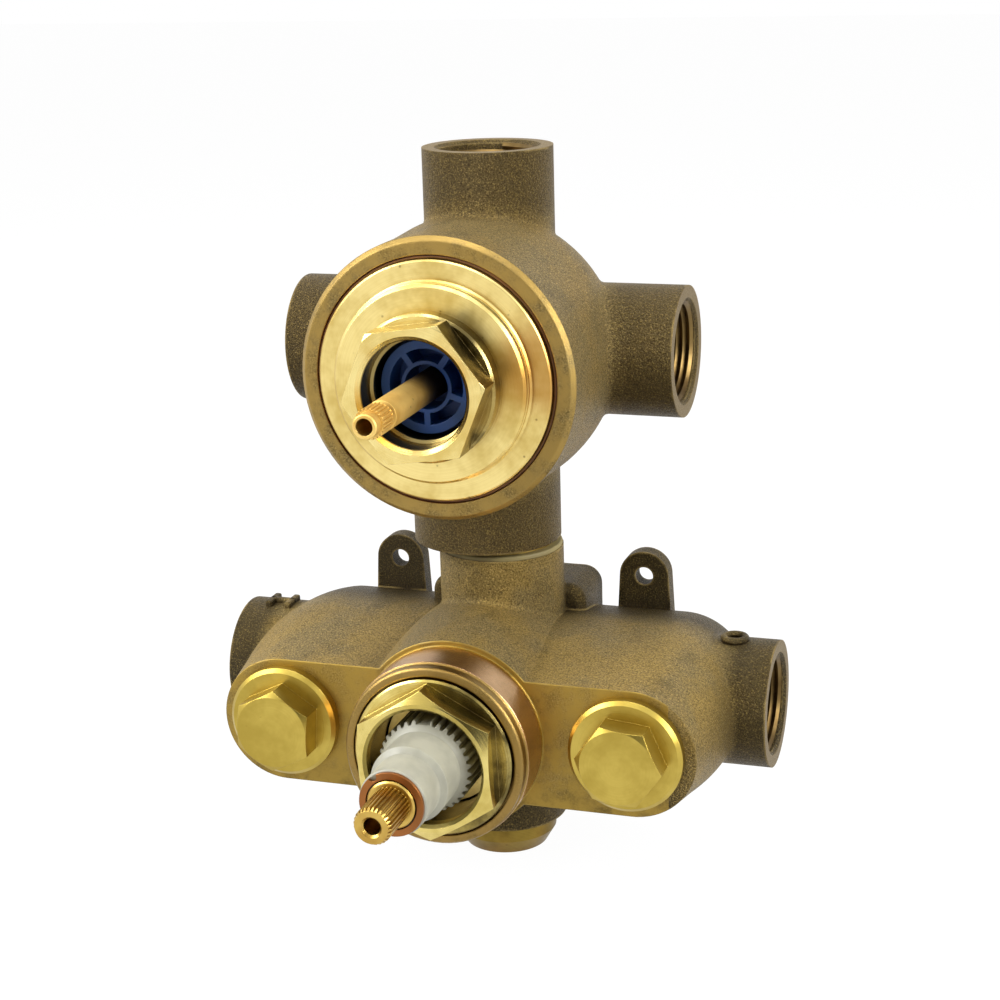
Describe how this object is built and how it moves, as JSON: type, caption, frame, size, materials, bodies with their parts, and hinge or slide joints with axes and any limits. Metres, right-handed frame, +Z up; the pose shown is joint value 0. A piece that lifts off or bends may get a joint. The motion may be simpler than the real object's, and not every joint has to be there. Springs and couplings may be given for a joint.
{
  "type": "concealed thermostatic valve",
  "caption": "Brass valve for building into a wall: a diverter with three outlets above a thermostatic mixer with two inlets and splined spindles.",
  "frame": {"origin": "midway between the two fixing holes, on the wall plane", "axes": "-Y out of the wall along the spindles, +X to the right seen from the room, +Z up"},
  "size_m": [0.1512, 0.1216, 0.1931],
  "materials": {
    "cast_brass": "sand cast, dull, tarnished",
    "machined_brass": "turned",
    "nut_brass": "turned and milled",
    "cap_brass": "satin",
    "spindle_brass": "splined",
    "blue_plastic": "moulded",
    "white_plastic": "moulded",
    "dark_plastic": "moulded",
    "ceramic": "lapped ceramic",
    "seal_rubber": "moulded",
    "copper": "copper-brown, satin",
    "sealant": "cured paste",
    "spring_steel": "drawn wire and mesh"
  },
  "bodies": {
    "body": {"diverter_body": "cast_brass", "diverter_bonnet": "machined_brass", "bonnet_seal": "seal_rubber", "diverter_nut": "nut_brass", "cartridge_cage": "blue_plastic", "base_seal": "seal_rubber", "fixed_disc": "ceramic", "joint_nipple": "machined_brass", "joint_sealant": "sealant", "mixer_body": "cast_brass", "cartridge_nut": "nut_brass", "cartridge_head": "machined_brass", "stop_sleeve": "white_plastic", "sleeve_washer": "copper", "cartridge_housing": "dark_plastic", "housing_seals": "seal_rubber", "return_spring": "spring_steel", "bottom_plug": "cap_brass", "hot_cap": "cap_brass", "hot_cap_seal": "seal_rubber", "hot_strainer": "spring_steel", "hot_check_cage": "white_plastic", "hot_check_spring": "spring_steel", "cold_cap": "cap_brass", "cold_cap_seal": "seal_rubber", "cold_strainer": "spring_steel", "cold_check_cage": "white_plastic", "cold_check_spring": "spring_steel"},
    "diverter_rotor": {"diverter_spindle": "spindle_brass", "diverter_spindle_seal": "seal_rubber", "drive_plate": "white_plastic", "moving_disc": "ceramic"},
    "temperature_shaft": {"temperature_spindle": "spindle_brass", "temperature_spindle_seal": "seal_rubber"},
    "thermostat": {"regulating_nut": "machined_brass", "overload_spring": "spring_steel", "wax_element": "copper", "shuttle": "dark_plastic"},
    "hot_check": {"hot_check_poppet": "white_plastic"},
    "cold_check": {"cold_check_poppet": "white_plastic"}
  },
  "joints": [
    {"name": "diverter_turn", "type": "hinge", "parent": "body", "child": "diverter_rotor", "pos_m": [0, -0.06, 0.0675], "axis": [0, 1, 0], "range_deg": [-90, 90]},
    {"name": "temperature_turn", "type": "hinge", "parent": "body", "child": "temperature_shaft", "pos_m": [0, -0.06, -0.0266], "axis": [0, 1, 0], "range_deg": [-140, 140]},
    {"name": "thermostat_slide", "type": "slide", "parent": "body", "child": "thermostat", "axis": [0, 1, 0], "range_m": [-0.00078, 0.00078], "deforming": ["return_spring"]},
    {"name": "hot_check_slide", "type": "slide", "parent": "body", "child": "hot_check", "axis": [0, -1, 0], "range_m": [0, 0.0025], "stiffness_N_per_m": 60, "springref_m": -0.002, "deforming": ["hot_check_spring"]},
    {"name": "cold_check_slide", "type": "slide", "parent": "body", "child": "cold_check", "axis": [0, -1, 0], "range_m": [0, 0.0025], "stiffness_N_per_m": 60, "springref_m": -0.002, "deforming": ["cold_check_spring"]}
  ],
  "couplings": [
    {"joint": "temperature_turn", "follows": "thermostat_slide", "rad_per_m": 3141.6}
  ]
}
